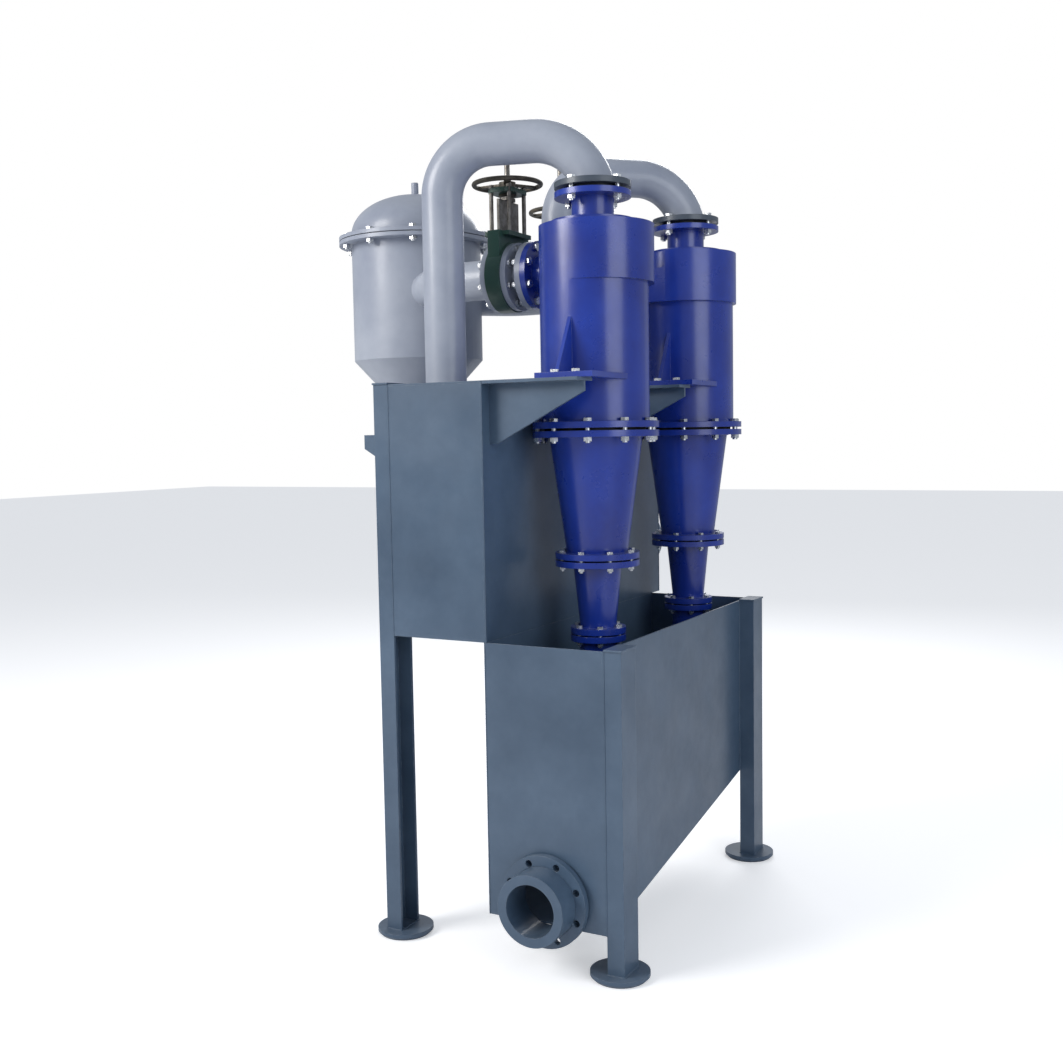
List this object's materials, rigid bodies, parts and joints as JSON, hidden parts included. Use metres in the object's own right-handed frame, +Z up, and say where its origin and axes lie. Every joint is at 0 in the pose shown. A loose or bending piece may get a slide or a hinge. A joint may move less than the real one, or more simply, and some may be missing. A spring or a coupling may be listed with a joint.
{
  "type": "hydrocyclone",
  "caption": "Lined hydrocyclones over an open trough, with overflow pipes bending into a closed tank on legs and a domed feed distributor with knife gate valves.",
  "frame": {"origin": "on the floor under the middle of the whole set's footprint", "axes": "+Z up; -Y to the trough's outlet flange, +Y to the tank's discharge; +X from the closed tank to the open trough"},
  "size_m": [1.5096, 1.567, 2.625],
  "materials": {
    "tank_paint": "semi-gloss dark blue-grey enamel",
    "cyclone_blue": "gloss blue enamel",
    "pipe_grey": "semi-gloss light grey enamel",
    "flange_grey": "semi-gloss dark grey enamel",
    "valve_green": "satin dark green enamel",
    "rubber": "matt black",
    "zinc": "bright zinc plate",
    "steel": "plain steel",
    "wheel": "grey-brown cast iron"
  },
  "bodies": {
    "frame": {"overflow_tank": "tank_paint", "tank_cover": "tank_paint", "underflow_trough": "tank_paint", "leg_front_left": "tank_paint", "leg_rear_left": "tank_paint", "leg_front_right": "tank_paint", "leg_rear_right": "tank_paint", "foot_plates": "tank_paint", "leg_caps": "tank_paint", "outlet_pipe": "tank_paint", "outlet_flange": "tank_paint", "discharge_nozzle": "tank_paint", "distributor_bracket": "tank_paint", "cyclone_head_1": "cyclone_blue", "head_liner_1": "rubber", "upper_cone_1": "cyclone_blue", "upper_cone_liner_1": "rubber", "lower_cone_1": "cyclone_blue", "lower_cone_liner_1": "rubber", "spigot_1": "cyclone_blue", "vortex_finder_1": "rubber", "top_cover_1": "cyclone_blue", "overflow_flange_1": "flange_grey", "overflow_pipe_1": "pipe_grey", "bracket_front_1": "tank_paint", "bracket_rear_1": "tank_paint", "cyclone_head_2": "cyclone_blue", "head_liner_2": "rubber", "upper_cone_2": "cyclone_blue", "upper_cone_liner_2": "rubber", "lower_cone_2": "cyclone_blue", "lower_cone_liner_2": "rubber", "spigot_2": "cyclone_blue", "vortex_finder_2": "rubber", "top_cover_2": "cyclone_blue", "overflow_flange_2": "flange_grey", "overflow_pipe_2": "pipe_grey", "bracket_front_2": "tank_paint", "bracket_rear_2": "tank_paint", "overflow_gaskets": "rubber", "body_flange_bolts": "zinc", "cone_flange_bolts": "zinc", "overflow_flange_bolts": "zinc", "lug_bolts": "zinc", "distributor_shell": "pipe_grey", "distributor_lid": "pipe_grey", "lid_gasket": "rubber", "lid_bolts": "zinc", "valve_body_1": "valve_green", "yoke_plate_1": "valve_green", "feed_spool_1": "pipe_grey", "valve_body_2": "valve_green", "yoke_plate_2": "valve_green", "feed_spool_2": "pipe_grey", "yoke_rods": "steel", "feed_line_bolts": "zinc"},
    "wheel_1": {"handwheel_1": "wheel"},
    "gate_1": {"valve_gate_1": "steel"},
    "wheel_2": {"handwheel_2": "wheel"},
    "gate_2": {"valve_gate_2": "steel"}
  },
  "joints": [
    {"name": "wheel_1_turn", "type": "hinge", "parent": "frame", "child": "wheel_1", "pos_m": [0.08825, -0.1985, 2.443], "axis": [0, 0, 1], "range_deg": [-7560, 0]},
    {"name": "gate_1_slide", "type": "slide", "parent": "frame", "child": "gate_1", "axis": [0, 0, 1], "range_m": [-0.105, 0]},
    {"name": "wheel_2_turn", "type": "hinge", "parent": "frame", "child": "wheel_2", "pos_m": [0.00225, 0.3535, 2.443], "axis": [0, 0, 1], "range_deg": [-7560, 0]},
    {"name": "gate_2_slide", "type": "slide", "parent": "frame", "child": "gate_2", "axis": [0, 0, 1], "range_m": [-0.105, 0]}
  ],
  "couplings": [
    {"joint": "gate_1_slide", "follows": "wheel_1_turn", "m_per_rad": 0.00079577},
    {"joint": "gate_2_slide", "follows": "wheel_2_turn", "m_per_rad": 0.00079577}
  ]
}
